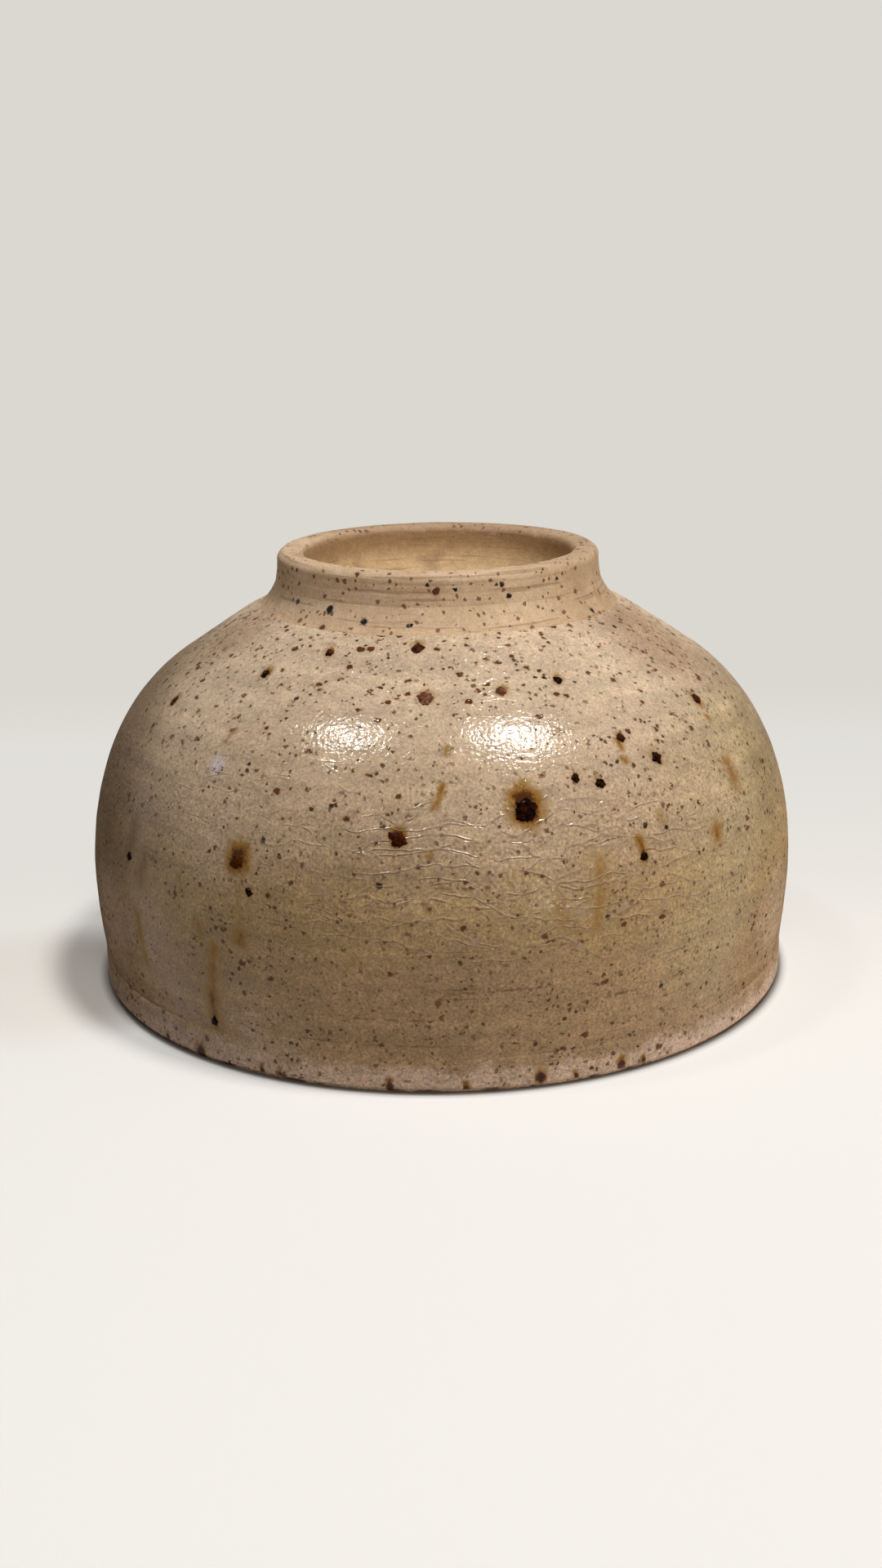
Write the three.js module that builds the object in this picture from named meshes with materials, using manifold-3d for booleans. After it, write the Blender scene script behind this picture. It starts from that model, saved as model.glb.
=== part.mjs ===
// Stoneware tea bowl standing mouth down on its rim, built the way a potter builds it: a thrown wall, a foot
// ring luted on with slip, glaze coats over the clay, and beads of iron that melted out of the clay.
// Millimetres, +Z up. The origin is the centre of the rim, on the surface that the rim stands on.
import * as THREE from "three";
import { mergeVertices } from "three/addons/utils/BufferGeometryUtils.js";
import Module from "manifold-3d";

const wasm = await Module();
wasm.setup();

// Thrown wall, bare clay
const RIM_RADIUS = 58.45;
const LIP_THICKNESS = 4.2;
const LIP_ROUND = 1.4;
const BELLY_SWELL = 1.05; // how far the belly stands out past the lip
const BELLY_HEIGHT = 19.5;
const WALL_THICKNESS = 5;
const SHOULDER_DRAW = 15.7; // how far the round shoulder draws in, up to the straight trimmed cone
const CONE_RISE = 9.8;
const BASE_RADIUS = 29; // flat bed for the foot ring
const BASE_HEIGHT = 63.8;
const FLOOR_THICKNESS = 6.5;

// Foot ring and the slip that joins it to the bed
const FOOT_BASE_RADIUS = 28.4;
const FOOT_TOP_RADIUS = 26.95;
const FOOT_HEIGHT = 8.15;
const FOOT_LIP_THICKNESS = 4.5;
const FOOT_LIP_ROUND = 1.5;
const FOOT_BASE_THICKNESS = 8.6;
const SLIP_THICKNESS = 0.4;
const SLIP_SPREAD = 3; // how far the slip is smoothed over the bed inside the ring

// Glaze coats
const GLAZE_THICKNESS = 0.5;
const LIP_GLAZE_THICKNESS = 0.6;
const GLAZE_EDGE_THICKNESS = 0.2;
const BARE_BASE_WIDTH = 1.2; // bare clay between the bed and the wiped edge of the glaze
const LIP_BAND_HEIGHT = 5.5;

// Iron beads: how far they stand out, how deep they sit, and the room around each in its pit
const BEAD_PROUD = 0.3;
const BEAD_DEPTH = 0.8;
const BEAD_CLEARANCE = 0.25;

// Each bead's turn round the bowl from the front (degrees, positive to the right), its width, and its rise:
// the share of the glazed wall's height, from the lip band (0) up to the edge of the glaze (1)
const BEADS = [
  { turn: 13, rise: 0.64, width: 3.6 },
  { turn: -6.5, rise: 0.58, width: 2.6 },
  { turn: -31.5, rise: 0.49, width: 2.2 },
  { turn: -29, rise: 0.42, width: 1.3 },
  { turn: -36.5, rise: 0.03, width: 1.5 },
  { turn: 38.5, rise: 0.71, width: 1.9 },
  { turn: 26, rise: 0.68, width: 1.5 },
  { turn: 22, rise: 0.7, width: 1.4 },
  { turn: 33, rise: 0.77, width: 1.4 },
  { turn: 31, rise: 0.49, width: 1.4 },
  { turn: -3, rise: 0.88, width: 2.6 },
  { turn: 13, rise: 0.89, width: 1.8 },
  { turn: 27, rise: 0.9, width: 1.6 },
  { turn: -5.5, rise: 0.98, width: 2 },
  { turn: -29.5, rise: 0.96, width: 1.7 },
  { turn: -43, rise: 0.9, width: 1.7 },
  { turn: -62.5, rise: 0.8, width: 1.6 },
  { turn: 58, rise: 0.8, width: 1.9 },
  { turn: -56.5, rise: 0.41, width: 1.3 },
  { turn: 100, rise: 0.55, width: 2.4 },
  { turn: 136, rise: 0.78, width: 1.8 },
  { turn: 168, rise: 0.39, width: 3 },
  { turn: 207, rise: 0.67, width: 2 },
  { turn: 248, rise: 0.2, width: 1.6 },
];

// Facets round the bowl and round each bead
const SIDES = 48;
const BEAD_SIDES = 8;
const BEAD_BANDS = 4;

const CLAY = new THREE.MeshStandardMaterial({ color: 0xb99a78, roughness: 0.9 });
const SLIP = new THREE.MeshStandardMaterial({ color: 0xc2a27e, roughness: 0.95 });
const GLAZE = new THREE.MeshStandardMaterial({ color: 0xbfa88e, roughness: 0.35 });
const LIP_GLAZE = new THREE.MeshStandardMaterial({ color: 0xc4ada0, roughness: 0.35 });
const IRON = new THREE.MeshStandardMaterial({ color: 0x2e1c12, roughness: 0.3 });

// Outlines lie in the plane of radius and height
const at = (radius, height) => new THREE.Vector2(radius, height);

function arc(radius, height, round, from, to, steps) {
  const curve = new THREE.EllipseCurve(radius, height, round, round, from, to);
  return curve.getPoints(steps);
}

function bend(start, control, end, steps) {
  return new THREE.QuadraticBezierCurve(start, control, end).getPoints(steps);
}

// The outline moved along its own normals, to the right of the way that it runs
function moved(outline, distance) {
  return outline.map((point, i) => {
    const before = outline[Math.max(i - 1, 0)];
    const after = outline[Math.min(i + 1, outline.length - 1)];
    const along = after.clone().sub(before).normalize();
    return at(point.x + along.y * distance(i), point.y - along.x * distance(i));
  });
}

function turned(outline) {
  const geometry = new THREE.LatheGeometry(outline, SIDES);
  geometry.rotateX(Math.PI / 2);
  return geometry;
}

function closed(outline) {
  return [...outline, outline[0].clone()];
}

function solid(geometry) {
  const bare = geometry.clone();
  bare.deleteAttribute("normal");
  bare.deleteAttribute("uv");
  const merged = mergeVertices(bare, 1e-3);
  const vertProperties = new Float32Array(merged.attributes.position.array);
  const triVerts = new Uint32Array(merged.index.array);
  return new wasm.Manifold(new wasm.Mesh({ numProp: 3, vertProperties, triVerts }));
}

function fromSolid(body) {
  const made = body.getMesh();
  const geometry = new THREE.BufferGeometry();
  geometry.setAttribute("position", new THREE.BufferAttribute(made.vertProperties, 3));
  geometry.setIndex(new THREE.BufferAttribute(made.triVerts, 1));
  geometry.computeVertexNormals();
  return geometry;
}

// The inside of the wall, from the middle of the floor down to the lip
const bellyRadius = RIM_RADIUS + BELLY_SWELL;
const floorHeight = BASE_HEIGHT - SLIP_THICKNESS - FLOOR_THICKNESS;
const innerBelly = at(bellyRadius - WALL_THICKNESS, BELLY_HEIGHT);
const innerLip = at(RIM_RADIUS - LIP_THICKNESS, LIP_ROUND);
const innerShoulder = new THREE.CubicBezierCurve(
  at(0, floorHeight),
  at(innerBelly.x * 0.76, floorHeight),
  at(innerBelly.x, BELLY_HEIGHT + (floorHeight - BELLY_HEIGHT) * 0.62),
  innerBelly,
);
const innerWall = [
  ...innerShoulder.getPoints(9),
  ...bend(innerBelly, at(innerBelly.x, BELLY_HEIGHT * 0.7), innerLip, 3).slice(1),
];

// The lip: rounded inside and outside, with a flat between that the bowl stands on
const lip = [
  ...arc(innerLip.x + LIP_ROUND, LIP_ROUND, LIP_ROUND, Math.PI, 1.5 * Math.PI, 2).slice(1),
  ...arc(RIM_RADIUS - LIP_ROUND, LIP_ROUND, LIP_ROUND, 1.5 * Math.PI, 2 * Math.PI, 2).slice(0, -1),
];

// The outside of the wall, from the lip up to the bed of the foot ring
const bandTop = at(RIM_RADIUS, LIP_BAND_HEIGHT);
const belly = at(bellyRadius, BELLY_HEIGHT);
const coneStart = at(bellyRadius - SHOULDER_DRAW, BASE_HEIGHT - CONE_RISE);
const bedEdge = at(BASE_RADIUS, BASE_HEIGHT);
const coneRun = coneStart.clone().sub(bedEdge);
const glazeEdge = bedEdge.clone().addScaledVector(coneRun, BARE_BASE_WIDTH / coneRun.length());
const shoulder = new THREE.CubicBezierCurve(
  belly,
  at(bellyRadius, BELLY_HEIGHT + (coneStart.y - BELLY_HEIGHT) * 0.23),
  coneStart.clone().addScaledVector(coneRun, 0.95),
  coneStart,
);
const bandWall = [at(RIM_RADIUS, LIP_ROUND), bandTop];
const lowerBend = at(bellyRadius, LIP_BAND_HEIGHT + (BELLY_HEIGHT - LIP_BAND_HEIGHT) * 0.64);
const lowerWall = bend(bandTop, lowerBend, belly, 3);
const glazedWall = [...lowerWall, ...shoulder.getPoints(7).slice(1), glazeEdge];
const outerWall = [...bandWall, ...glazedWall.slice(1), bedEdge];

const bowlBody = turned([...innerWall, ...lip, ...outerWall, at(0, BASE_HEIGHT)]);

// The foot ring: a turned ring, wider at its base, with a rounded lip that has a flat on it
const ringBase = BASE_HEIGHT + SLIP_THICKNESS;
const ringTop = ringBase + FOOT_HEIGHT;
const ringLip = ringTop - FOOT_LIP_ROUND;
const ringInnerBase = FOOT_BASE_RADIUS - FOOT_BASE_THICKNESS;
const ringInnerTop = FOOT_TOP_RADIUS - FOOT_LIP_THICKNESS;
const ringOutside = bend(
  at(FOOT_BASE_RADIUS, ringBase),
  at(FOOT_TOP_RADIUS, ringBase + FOOT_HEIGHT * 0.35),
  at(FOOT_TOP_RADIUS, ringLip),
  5,
);
const ringInside = bend(
  at(ringInnerTop, ringLip),
  at(ringInnerTop - 0.3, ringBase + FOOT_HEIGHT * 0.3),
  at(ringInnerBase, ringBase),
  5,
);
const ringLipRound = [
  ...arc(FOOT_TOP_RADIUS - FOOT_LIP_ROUND, ringLip, FOOT_LIP_ROUND, 0, Math.PI / 2, 3).slice(1),
  ...arc(ringInnerTop + FOOT_LIP_ROUND, ringLip, FOOT_LIP_ROUND, Math.PI / 2, Math.PI, 3).slice(0, -1),
];
const footRing = turned([...ringOutside, ...ringLipRound, ...ringInside, ringOutside[0].clone()]);

// The luting slip: a layer between the bed and the ring, smoothed into a hollow fillet on both sides of the ring
const slipOutsideTop = ringOutside[1];
const slipInsideTop = ringInside[ringInside.length - 2];
const slipOutside = bend(bedEdge, at(FOOT_BASE_RADIUS + 0.15, ringBase), slipOutsideTop, 3);
const slipInsideEdge = at(ringInnerBase - SLIP_SPREAD, BASE_HEIGHT);
const slipInside = bend(slipInsideTop, at(ringInnerBase - 0.15, ringBase), slipInsideEdge, 3);
const lutingSlip = turned(closed([...slipOutside, ringOutside[0], ...ringInside.slice(-1), ...slipInside]));

// The glaze coats follow the clay's own outline, so their faces meet the clay
const lipGlazeFace = moved(outerWall, () => LIP_GLAZE_THICKNESS);
const glazeFace = moved(outerWall, (i) =>
  i < outerWall.length - 2 ? GLAZE_THICKNESS : GLAZE_EDGE_THICKNESS,
);
const bandEnd = bandWall.length - 1;
const glazeEnd = outerWall.length - 1;
const lipGlaze = turned(
  closed([...lipGlazeFace.slice(0, bandEnd + 1), ...outerWall.slice(0, bandEnd + 1).reverse()]),
);
const outerGlaze = turned(
  closed([...glazeFace.slice(bandEnd, glazeEnd), ...outerWall.slice(bandEnd, glazeEnd).reverse()]),
);
const liningFace = moved(innerWall, () => GLAZE_THICKNESS);
const liningMiddle = at(0, floorHeight - GLAZE_THICKNESS);
const innerGlaze = turned([liningMiddle, ...liningFace.slice(1), ...innerWall.slice().reverse()]);

// A place on the glazed face, with the face's slope there
function glazeAt(rise) {
  const bottom = glazeFace[bandEnd].y;
  const top = glazeFace[glazeEnd - 1].y;
  const height = bottom + (top - bottom) * rise;
  const end = glazeFace.findIndex((point) => point.y > height);
  const low = glazeFace[end - 1];
  const along = glazeFace[end].clone().sub(low);
  const radius = low.x + (along.x * (height - low.y)) / along.y;
  return { radius, height, tilt: Math.atan2(-along.x, along.y) };
}

// A flattened ball sunk in the glazed face, grown by some room for its pit
function bead({ turn, rise, width }, room) {
  const geometry = new THREE.SphereGeometry(1, BEAD_SIDES, BEAD_BANDS);
  const half = (BEAD_PROUD + BEAD_DEPTH) / 2;
  const place = glazeAt(rise);
  geometry.scale(width / 2 + room, half + room, width / 2 + room);
  geometry.translate(0, BEAD_PROUD - half, 0);
  geometry.rotateX(Math.PI - place.tilt);
  geometry.translate(0, -place.radius, place.height);
  geometry.rotateZ(THREE.MathUtils.degToRad(turn));
  return geometry;
}

// Every bead's pit is cut through the coat and into the clay behind it
const pits = BEADS.map((each) => solid(bead(each, BEAD_CLEARANCE)));
function pitted(geometry) {
  const cut = pits.reduce((body, pit) => body.subtract(pit), solid(geometry));
  return fromSolid(cut);
}

const teaBowl = new THREE.Group();
teaBowl.name = "tea_bowl";

function add(name, geometry, material) {
  const mesh = new THREE.Mesh(geometry, material);
  mesh.name = name;
  teaBowl.add(mesh);
}

add("bowl_body", pitted(bowlBody), CLAY);
add("foot_ring", footRing, CLAY);
add("luting_slip", lutingSlip, SLIP);
add("outer_glaze", pitted(outerGlaze), GLAZE);
add("lip_glaze", pitted(lipGlaze), LIP_GLAZE);
add("inner_glaze", innerGlaze, GLAZE);
BEADS.forEach((each, i) => {
  add(`iron_bead_${String(i + 1).padStart(2, "0")}`, bead(each, 0), IRON);
});

export default teaBowl;
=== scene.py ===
import math

import bpy
from mathutils import Matrix, Vector, noise


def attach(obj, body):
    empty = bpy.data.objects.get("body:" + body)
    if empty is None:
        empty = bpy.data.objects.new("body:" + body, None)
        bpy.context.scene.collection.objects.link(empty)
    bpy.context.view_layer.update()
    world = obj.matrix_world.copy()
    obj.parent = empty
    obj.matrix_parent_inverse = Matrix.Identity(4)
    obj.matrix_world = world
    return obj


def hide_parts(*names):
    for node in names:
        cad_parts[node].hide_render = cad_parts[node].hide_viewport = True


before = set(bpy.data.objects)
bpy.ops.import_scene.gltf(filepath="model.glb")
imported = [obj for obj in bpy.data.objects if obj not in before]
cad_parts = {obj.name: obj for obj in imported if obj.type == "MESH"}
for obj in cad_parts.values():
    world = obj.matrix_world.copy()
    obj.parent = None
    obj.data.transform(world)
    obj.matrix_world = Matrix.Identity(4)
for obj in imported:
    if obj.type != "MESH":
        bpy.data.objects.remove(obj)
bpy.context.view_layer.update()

# Stoneware wall
# The body of the bowl: iron-bearing stoneware, thrown on a wheel and trimmed to a cone below the foot.
# Glaze covers it but for the face of the lip, a narrow band at the foot and the floor of the recess.
# Sizes are in millimetres, and MM turns them into the metres of the scene.
MM = 0.001
RIM = 58.45
LIP = 4.2
LIP_ROUND = 1.4
LIP_EDGE = 0.2
LIP_BAND = 5.5
BELLY = 59.5
BELLY_HEIGHT = 19.5
WALL = 5.0
CONE = 43.8
CONE_HEIGHT = 54.0
BED = 29.0
BED_HEIGHT = 63.8
FLOOR_HEIGHT = 56.9
WALL_SIDES = 240
CREASE = math.radians(35)
WELD = 0.001
# How far the curves lean, as shares of the lengths that they round off.
FLOOR_LEAN = 0.76
SIDE_LEAN = 0.62
LIP_LEAN = 0.7
BELLY_LEAN = 0.64
SHOULDER_LEAN = 0.23
CONE_LEAN = 0.95
# Slow waves and finger rings: their depth, and how close together they lie round the bowl and up it.
WAVE_DEPTH = 0.12
WAVE_AROUND = 1.3
WAVE_UP = 0.045
RING_DEPTH = 0.05
RING_AROUND = 0.5
RING_UP = 0.3
RING_SHIFT = 7
CLAY_TAN = (0.62, 0.443, 0.286)
CLAY_PALE = (0.69, 0.515, 0.354)
CLAY_BROWN = (0.27, 0.150, 0.075)
CLAY_ORANGE = (0.62, 0.400, 0.220)
RECESS_GOLD = (0.60, 0.420, 0.225)
# The next tone is painted shade, high up in the recess under the foot's lip.
RECESS_SHADE_BROWN = (0.31, 0.185, 0.075)
RUST = (0.17, 0.060, 0.030)
SPECK_BROWN = (0.110, 0.034, 0.008)
IRON_BLACK = (0.008, 0.005, 0.005)
CLAY_ROUGH = 0.8
SPOT_ROUGH = 0.2
CLAY_SHEEN = 0.2
# Each pair runs from where a tone begins to where it is full, in millimetres.
ROOT_STAIN = (65.2, 63.4)
RECESS_SIDE = (23.1, 22.2)
# The next four pairs give painted shade, not tones of the clay: the recess top, the far lip and the right
# side.
RECESS_SHADE = (66.0, 70.5)
FAR_SIDE_SHADE = (6, 22)
FAR_LIP_SHADE_TOP = (69.5, 71.5)
RIGHT_SIDE_SHADE = (10, 26)
RUSTY_LIP = (2.9, 1.6)
RUST_WANDER = 6.0
RECESS_SHARE = 0.9


def bow(start, pull, end, steps):
    """Points of a curve from start to end that leans towards one pull point. The start is left out."""
    points = []
    for step in range(1, steps + 1):
        t = step / steps
        u = 1 - t
        points.append(tuple(u * u * a + 2 * u * t * b + t * t * c for a, b, c in zip(start, pull, end)))
    return points


def sweep(start, pull_a, pull_b, end, steps):
    """Points of a curve from start to end that leans towards two pull points. The start is left out."""
    points = []
    for step in range(1, steps + 1):
        t = step / steps
        u = 1 - t
        shares = (u**3, 3 * u * u * t, 3 * u * t * t, t**3)
        ends = zip(start, pull_a, pull_b, end)
        points.append(tuple(sum(share * value for share, value in zip(shares, axis)) for axis in ends))
    return points


def straight(start, end, steps):
    """Points of a straight line from start to end. The start is left out."""
    points = []
    for step in range(1, steps + 1):
        points.append(tuple(a + (b - a) * step / steps for a, b in zip(start, end)))
    return points


def quarter(centre, radius, start_turn, steps):
    """Points of a quarter round, anticlockwise from start_turn degrees. Its first point is left out."""
    turns = [math.radians(start_turn + 90 * step / steps) for step in range(1, steps + 1)]
    return [(centre[0] + radius * math.cos(t), centre[1] + radius * math.sin(t)) for t in turns]


def spin_on_wheel(name, outline, sides):
    """A piece whose outline, in millimetres of radius and height, is spun round the bowl's axis."""
    bpy.ops.object.select_all(action="DESELECT")
    bpy.ops.mesh.primitive_circle_add(vertices=len(outline), radius=MM)
    piece = bpy.context.object
    piece.name = name
    for vertex, (radius, height) in zip(piece.data.vertices, outline):
        vertex.co = (radius * MM, 0, height * MM)
    bpy.ops.object.modifier_add(type="SCREW")
    wheel = piece.modifiers[-1]
    wheel.steps = sides
    wheel.render_steps = sides
    bpy.ops.object.modifier_apply(modifier=wheel.name)
    bpy.ops.object.mode_set(mode="EDIT")
    bpy.ops.mesh.select_all(action="SELECT")
    bpy.ops.mesh.remove_doubles(threshold=WELD * MM)
    bpy.ops.mesh.delete_loose(use_faces=False)
    bpy.ops.mesh.select_all(action="SELECT")
    bpy.ops.mesh.normals_make_consistent(inside=False)
    bpy.ops.object.mode_set(mode="OBJECT")
    bpy.ops.object.shade_smooth_by_angle(angle=CREASE)
    return piece


def press(piece, depth_at):
    """Moves each point along its normal by depth_at(its place in millimetres), but not below the rim."""
    normals = [vertex.normal.copy() for vertex in piece.data.vertices]
    for vertex, normal in zip(piece.data.vertices, normals):
        vertex.co += normal * depth_at(vertex.co / MM) * MM
        vertex.co.z = max(vertex.co.z, 0.0)
    piece.data.update()


def thrown(place):
    """The slow waves and finger rings of a wall pulled up on a wheel."""
    around = Vector((place.x, place.y, 0)).normalized()
    wave = Vector((around.x * WAVE_AROUND, around.y * WAVE_AROUND, place.z * WAVE_UP))
    ring = Vector((around.x * RING_AROUND + RING_SHIFT, around.y * RING_AROUND, place.z * RING_UP))
    return WAVE_DEPTH * noise.noise(wave) + RING_DEPTH * noise.noise(ring)


lip_inside = (RIM - LIP, LIP_ROUND)
inner_belly = (BELLY - WALL, BELLY_HEIGHT)
floor_pull = (inner_belly[0] * FLOOR_LEAN, FLOOR_HEIGHT)
side_pull = (inner_belly[0], BELLY_HEIGHT + (FLOOR_HEIGHT - BELLY_HEIGHT) * SIDE_LEAN)
lip_pull = (inner_belly[0], BELLY_HEIGHT * LIP_LEAN)
wall_inside = [(0, FLOOR_HEIGHT)]
wall_inside += sweep((0, FLOOR_HEIGHT), floor_pull, side_pull, inner_belly, steps=36)
wall_inside += bow(inner_belly, lip_pull, lip_inside, steps=12)
lip_edge = quarter((lip_inside[0] + LIP_ROUND, LIP_ROUND), LIP_ROUND, start_turn=180, steps=6)
lip_edge += [(RIM - LIP_EDGE, 0)]
lip_edge += quarter((RIM - LIP_EDGE, LIP_EDGE), LIP_EDGE, start_turn=270, steps=6)
band_top = (RIM, LIP_BAND)
widest = (BELLY, BELLY_HEIGHT)
cone_start = (CONE, CONE_HEIGHT)
belly_pull = (BELLY, LIP_BAND + (BELLY_HEIGHT - LIP_BAND) * BELLY_LEAN)
shoulder_pull = (BELLY, BELLY_HEIGHT + (CONE_HEIGHT - BELLY_HEIGHT) * SHOULDER_LEAN)
cone_pull = (CONE + (CONE - BED) * CONE_LEAN, CONE_HEIGHT - (BED_HEIGHT - CONE_HEIGHT) * CONE_LEAN)
wall_belly = [band_top]
wall_belly += bow(band_top, belly_pull, widest, steps=20)
wall_belly += sweep(widest, shoulder_pull, cone_pull, cone_start, steps=58)
wall_belly += straight(cone_start, (BED, BED_HEIGHT), steps=28)
wall_outline = wall_inside + lip_edge + wall_belly + [(0, BED_HEIGHT)]
wall = spin_on_wheel("stoneware_wall", wall_outline, WALL_SIDES)
press(wall, thrown)
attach(wall, "root")
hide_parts("bowl_body")


class Finish:
    """A finish mixed from shader nodes: each method adds one step and hands back what it gives."""

    SMALLEST_SPECK = 0.25
    SPECK_CORE = 0.75
    HALO_REACH = 2.4
    HALO_CORE = 0.6
    CLOUD_THIN = 0.3
    CLOUD_THICK = 0.7

    def __init__(self, name):
        self.material = bpy.data.materials.new(name)
        self.material.use_nodes = True
        self.tree = self.material.node_tree
        self.surface = self.tree.nodes["Principled BSDF"]

    def feed(self, socket, value):
        if isinstance(value, bpy.types.NodeSocket):
            self.tree.links.new(value, socket)
        elif socket.type == "RGBA":
            socket.default_value = (*value, 1)
        else:
            socket.default_value = value

    def node(self, kind, inputs, **settings):
        made = self.tree.nodes.new(kind)
        for key, value in settings.items():
            setattr(made, key, value)
        for key, value in inputs.items():
            self.feed(made.inputs[key], value)
        return made

    def vector(self, operation, a, b):
        inputs = {0: a, "Scale" if operation == "SCALE" else 1: b}
        made = self.node("ShaderNodeVectorMath", inputs, operation=operation)
        return made.outputs["Value" if operation == "DISTANCE" else "Vector"]

    def math(self, operation, a, b):
        return self.node("ShaderNodeMath", {0: a, 1: b}, operation=operation).outputs[0]

    def most(self, a, b):
        return self.math("MAXIMUM", a, b)

    def times(self, *values):
        product = values[0]
        for value in values[1:]:
            product = self.math("MULTIPLY", product, value)
        return product

    def plus(self, a, b):
        return self.math("ADD", a, b)

    def place(self):
        """The place on the bowl, in millimetres."""
        return self.vector("SCALE", self.node("ShaderNodeTexCoord", {}).outputs["Object"], 1 / MM)

    def axis(self, place, name):
        return self.node("ShaderNodeSeparateXYZ", {0: place}).outputs[name]

    def radius(self, place):
        return self.vector("DISTANCE", self.vector("MULTIPLY", place, (1, 1, 0)), (0, 0, 0))

    def stretch(self, place, around, up):
        """The place in units of a pattern's size round the bowl and up it."""
        return self.vector("MULTIPLY", place, (1 / around, 1 / around, 1 / up))

    def rise(self, value, low, high, top=1.0):
        """Goes smoothly from 0 at low to top at high."""
        inputs = {"Value": value, "From Min": low, "From Max": high, "To Min": 0.0, "To Max": top}
        return self.node("ShaderNodeMapRange", inputs, interpolation_type="SMOOTHSTEP").outputs["Result"]

    def cloud(self, place, size, detail=2.0, rough=0.5):
        inputs = {"Vector": place, "Scale": 1 / size, "Detail": detail, "Roughness": rough}
        return self.node("ShaderNodeTexNoise", inputs).outputs["Fac"]

    def jitter(self, place, size, amount):
        """The place shaken by a small cloud, so that edges come out ragged."""
        cloud = self.node("ShaderNodeTexNoise", {"Vector": place, "Scale": 1 / size, "Detail": 2.0})
        centred = self.vector("SUBTRACT", cloud.outputs["Color"], (0.5, 0.5, 0.5))
        return self.vector("ADD", place, self.vector("SCALE", centred, amount))

    def specks(self, place, spacing, widest, share):
        """Specks of all sizes up to a widest radius, in a share of the cells, and halos round them."""
        cells = self.node("ShaderNodeTexVoronoi", {"Vector": place, "Scale": 1 / spacing})
        away = self.times(cells.outputs["Distance"], spacing)
        draw = self.node("ShaderNodeSeparateColor", {"Color": cells.outputs["Color"]})
        size = self.times(draw.outputs["Red"], draw.outputs["Red"], widest * (1 - self.SMALLEST_SPECK))
        reach = self.plus(size, widest * self.SMALLEST_SPECK)
        kept = self.math("LESS_THAN", draw.outputs["Green"], share)
        mark = self.rise(away, reach, self.times(reach, self.SPECK_CORE))
        halo = self.rise(away, self.times(reach, self.HALO_REACH), self.times(reach, self.HALO_CORE))
        return self.times(mark, kept), self.times(halo, kept)

    def near(self, place, spot, reach, core=0.0):
        """1 within a core round a spot, fading to 0 at its reach."""
        return self.rise(self.vector("DISTANCE", place, spot), reach, core)

    def spots(self, place, rows, reach=0.65, core=0.35):
        """1 on round spots, each a middle and a width. Reach and core are shares of the width."""
        marks = 0.0
        for middle, width in rows:
            mark = self.near(place, middle, reach=width * reach, core=width * core)
            marks = self.most(marks, mark)
        return marks

    def run(self, place, start, end, width, strength):
        """A strength along the line from start to end, dying away to 0 at a width to its sides."""
        along = end - start
        inputs = {0: self.vector("SUBTRACT", place, start), 1: along / along.length_squared}
        share = self.node("ShaderNodeVectorMath", inputs, operation="DOT_PRODUCT").outputs["Value"]
        share = self.node("ShaderNodeClamp", {"Value": share}).outputs[0]
        nearest = self.vector("ADD", self.vector("SCALE", along, share), start)
        away = self.vector("DISTANCE", place, nearest)
        inputs = {"Value": away, "From Min": 0.0, "From Max": width, "To Min": 1.0, "To Max": 0.0}
        fade = self.node("ShaderNodeMapRange", inputs).outputs["Result"]
        return self.times(fade, fade, strength)

    def cracks(self, place, around, up, width):
        """Ridges along the edges of long, flat cells, each with a soft slope of a width to its sides."""
        inputs = {"Vector": self.stretch(place, around, up), "Scale": 1.0}
        cells = self.node("ShaderNodeTexVoronoi", inputs, feature="DISTANCE_TO_EDGE")
        return self.rise(cells.outputs["Distance"], width / up, 0.0)

    def mix(self, share, a, b):
        return self.node("ShaderNodeMix", {0: share, 6: a, 7: b}, data_type="RGBA").outputs[2]

    def shade(self, colour, cloud, thin, thick):
        """The colour times one factor where a cloud is thin, going over to another where it is thick."""
        inputs = {"Value": cloud, "From Min": self.CLOUD_THIN, "From Max": self.CLOUD_THICK}
        inputs |= {"To Min": thin, "To Max": thick}
        return self.vector("SCALE", colour, self.node("ShaderNodeMapRange", inputs).outputs["Result"])

    def relief(self, heights):
        """Bumps, each a height and its depth in millimetres, one on top of the other."""
        normal = None
        for value, depth in heights:
            inputs = {"Height": value, "Strength": 1.0, "Distance": depth * MM}
            if normal is not None:
                inputs["Normal"] = normal
            normal = self.node("ShaderNodeBump", inputs).outputs["Normal"]
        return normal

    def done(self, sockets):
        for key, value in sockets.items():
            self.feed(self.surface.inputs[key], value)
        return self.material


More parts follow.
